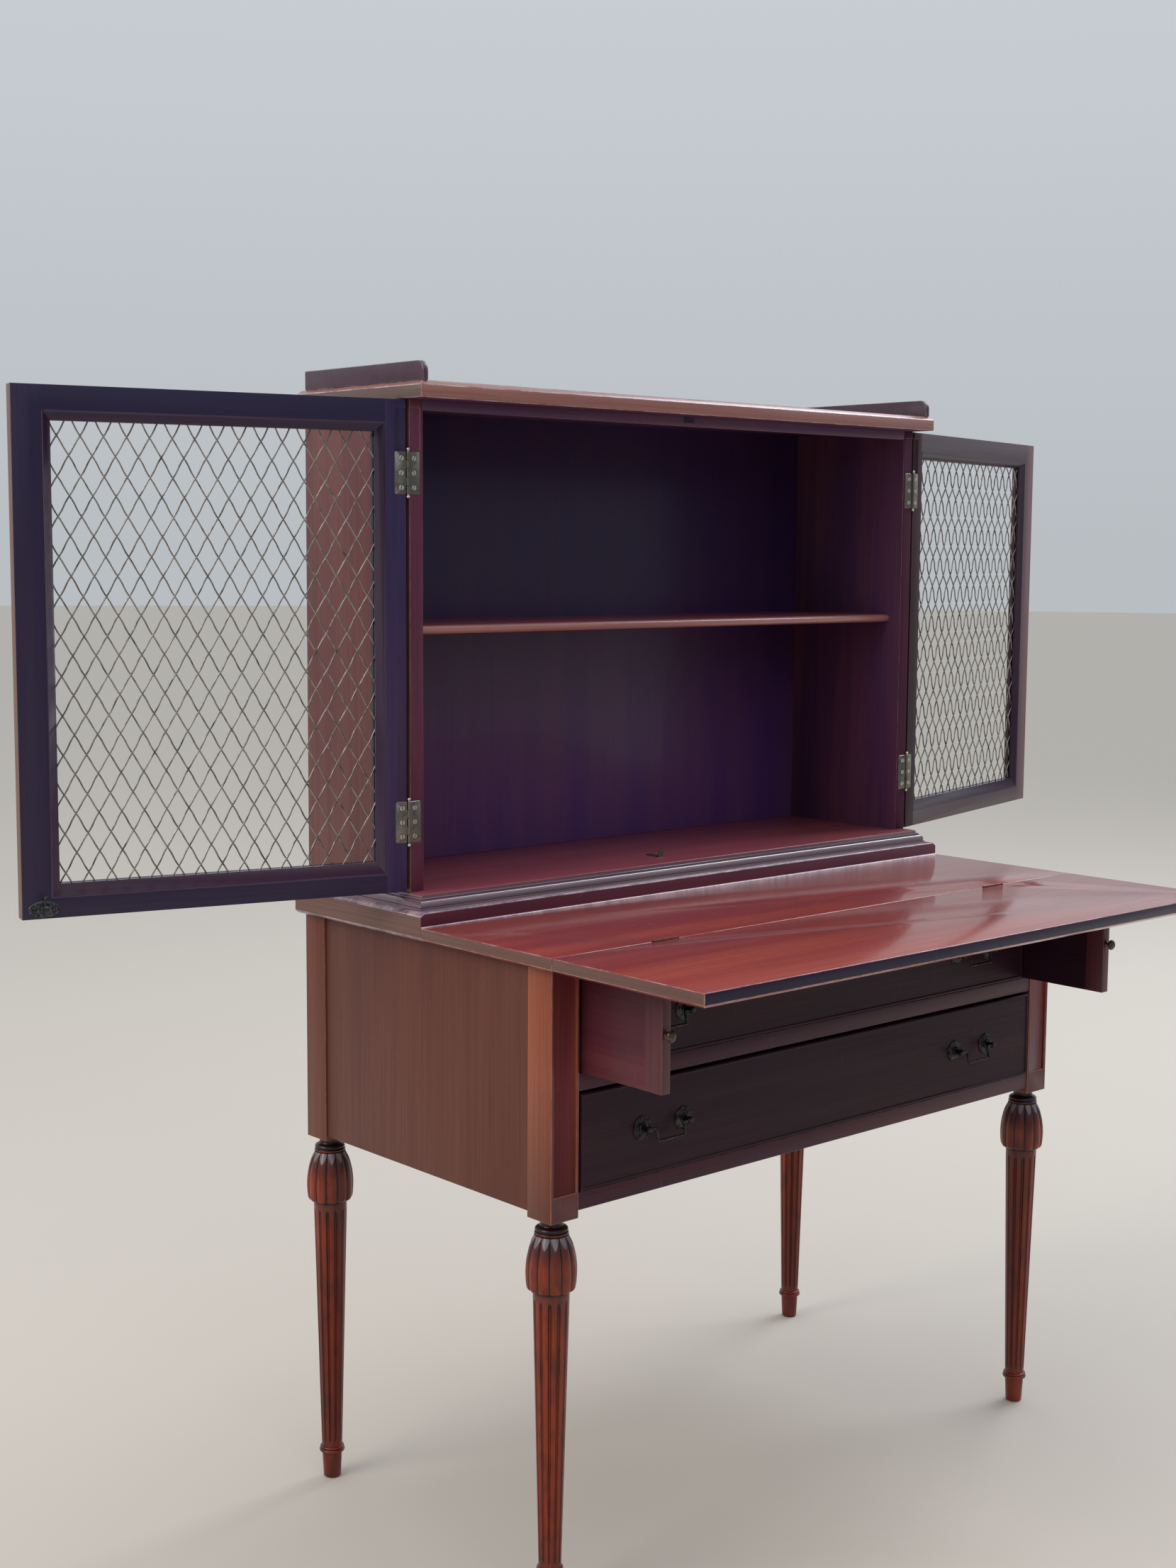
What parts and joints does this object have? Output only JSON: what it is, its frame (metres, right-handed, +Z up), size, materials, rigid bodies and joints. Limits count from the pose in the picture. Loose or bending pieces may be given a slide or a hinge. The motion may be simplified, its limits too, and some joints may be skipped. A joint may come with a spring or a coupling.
{
  "type": "desk with hutch",
  "caption": "Writing desk on turned, fluted legs with drawers, a fold-over writing leaf on pull-out lopers, and a hutch with wire-grille doors.",
  "frame": {"origin": "on the floor, at the centre of the desk's width and depth with the leaf and doors open as pictured", "axes": "+X to the user's right, +Y from the writing leaf to the back of the hutch, +Z up"},
  "size_m": [1.7804, 0.7332, 1.4085],
  "materials": {
    "mahogany": "worn gloss lacquer over dark red-brown stain",
    "turned_mahogany": "glossy lacquer, dark in the hollows",
    "secondary_wood": "dull stain",
    "aged_brass": "aged, worn bright at the edges",
    "dull_brass": "dull",
    "brass_wire": "aged wire",
    "dark_bronze": "nearly black patina"
  },
  "bodies": {
    "desk": {"leg_front_left": "turned_mahogany", "leg_rear_left": "turned_mahogany", "leg_front_right": "turned_mahogany", "leg_rear_right": "turned_mahogany", "post_front_right": "mahogany", "post_front_left": "mahogany", "post_rear_right": "mahogany", "post_rear_left": "mahogany", "side_panel_right": "mahogany", "side_panel_left": "mahogany", "loper_guide_right": "secondary_wood", "loper_guide_left": "secondary_wood", "case_back": "secondary_wood", "bottom_rail": "mahogany", "middle_rail": "mahogany", "top_rail": "mahogany", "dust_board": "secondary_wood", "lower_runners": "secondary_wood", "desk_top_rear": "mahogany", "desk_top_front": "mahogany", "leaf_hinge_fixed": "aged_brass", "hutch_side_left": "mahogany", "hutch_side_right": "mahogany", "hutch_bottom": "mahogany", "hutch_back": "secondary_wood", "hutch_shelf": "mahogany", "hutch_top_rail": "mahogany", "hutch_top": "mahogany", "top_gallery": "mahogany", "base_moulding": "mahogany", "door_hinges_case": "aged_brass", "catch_strike": "aged_brass"},
    "writing_leaf": {"writing_leaf": "mahogany", "leaf_hinge_moving": "aged_brass"},
    "loper_left": {"loper_left": "mahogany", "loper_knob_left": "dull_brass"},
    "loper_right": {"loper_right": "mahogany", "loper_knob_right": "dull_brass"},
    "top_drawer": {"top_drawer_front": "mahogany", "top_drawer_box": "secondary_wood", "top_drawer_bottom": "secondary_wood", "top_pull_plates": "dark_bronze"},
    "lower_drawer": {"lower_drawer_front": "mahogany", "lower_drawer_box": "secondary_wood", "lower_drawer_bottom": "secondary_wood", "lower_pull_plates": "dark_bronze"},
    "bail_top_left": {"bail_top_left": "dark_bronze"},
    "bail_top_right": {"bail_top_right": "dark_bronze"},
    "bail_lower_left": {"bail_lower_left": "dark_bronze"},
    "bail_lower_right": {"bail_lower_right": "dark_bronze"},
    "left_door": {"left_door_frame": "mahogany", "left_door_bead": "mahogany", "left_grille": "brass_wire", "left_hinge_leaves": "aged_brass", "catch_plate": "aged_brass"},
    "right_door": {"right_door_frame": "mahogany", "right_door_bead": "mahogany", "right_grille": "brass_wire", "right_hinge_leaves": "aged_brass"},
    "catch_lever": {"catch_lever": "aged_brass"}
  },
  "joints": [
    {"name": "writing_leaf_fold", "type": "hinge", "parent": "desk", "child": "writing_leaf", "pos_m": [0, -0.1341, 0.7567], "axis": [-1, 0, 0], "range_deg": [0, 180]},
    {"name": "loper_left_slide", "type": "slide", "parent": "desk", "child": "loper_left", "axis": [0, 1, 0], "range_m": [-0.02, 0.127]},
    {"name": "loper_right_slide", "type": "slide", "parent": "desk", "child": "loper_right", "axis": [0, 1, 0], "range_m": [-0.02, 0.127]},
    {"name": "top_drawer_slide", "type": "slide", "parent": "desk", "child": "top_drawer", "axis": [0, -1, 0], "range_m": [0, 0.3]},
    {"name": "lower_drawer_slide", "type": "slide", "parent": "desk", "child": "lower_drawer", "axis": [0, -1, 0], "range_m": [0, 0.3]},
    {"name": "left_door_hinge", "type": "hinge", "parent": "desk", "child": "left_door", "pos_m": [-0.4532, 0.1429, 1.0787], "axis": [0, 0, 1], "range_deg": [0, 194.3]},
    {"name": "right_door_hinge", "type": "hinge", "parent": "desk", "child": "right_door", "pos_m": [0.4532, 0.1429, 1.0787], "axis": [0, 0, -1], "range_deg": [0, 194.3]},
    {"name": "catch_lever_pivot", "type": "hinge", "parent": "left_door", "child": "catch_lever", "pos_m": [-0.86916, 0.24222, 0.805], "axis": [-0.969, 0.247, 0], "range_deg": [0, 14]},
    {"name": "bail_top_left_swing", "type": "hinge", "parent": "top_drawer", "child": "bail_top_left", "pos_m": [-0.284, -0.1286, 0.66785], "axis": [-1, 0, 0], "range_deg": [0, 90]},
    {"name": "bail_top_right_swing", "type": "hinge", "parent": "top_drawer", "child": "bail_top_right", "pos_m": [0.284, -0.1286, 0.66785], "axis": [-1, 0, 0], "range_deg": [0, 90]},
    {"name": "bail_lower_left_swing", "type": "hinge", "parent": "lower_drawer", "child": "bail_lower_left", "pos_m": [-0.284, -0.1286, 0.53765], "axis": [-1, 0, 0], "range_deg": [0, 90]},
    {"name": "bail_lower_right_swing", "type": "hinge", "parent": "lower_drawer", "child": "bail_lower_right", "pos_m": [0.284, -0.1286, 0.53765], "axis": [-1, 0, 0], "range_deg": [0, 90]}
  ]
}
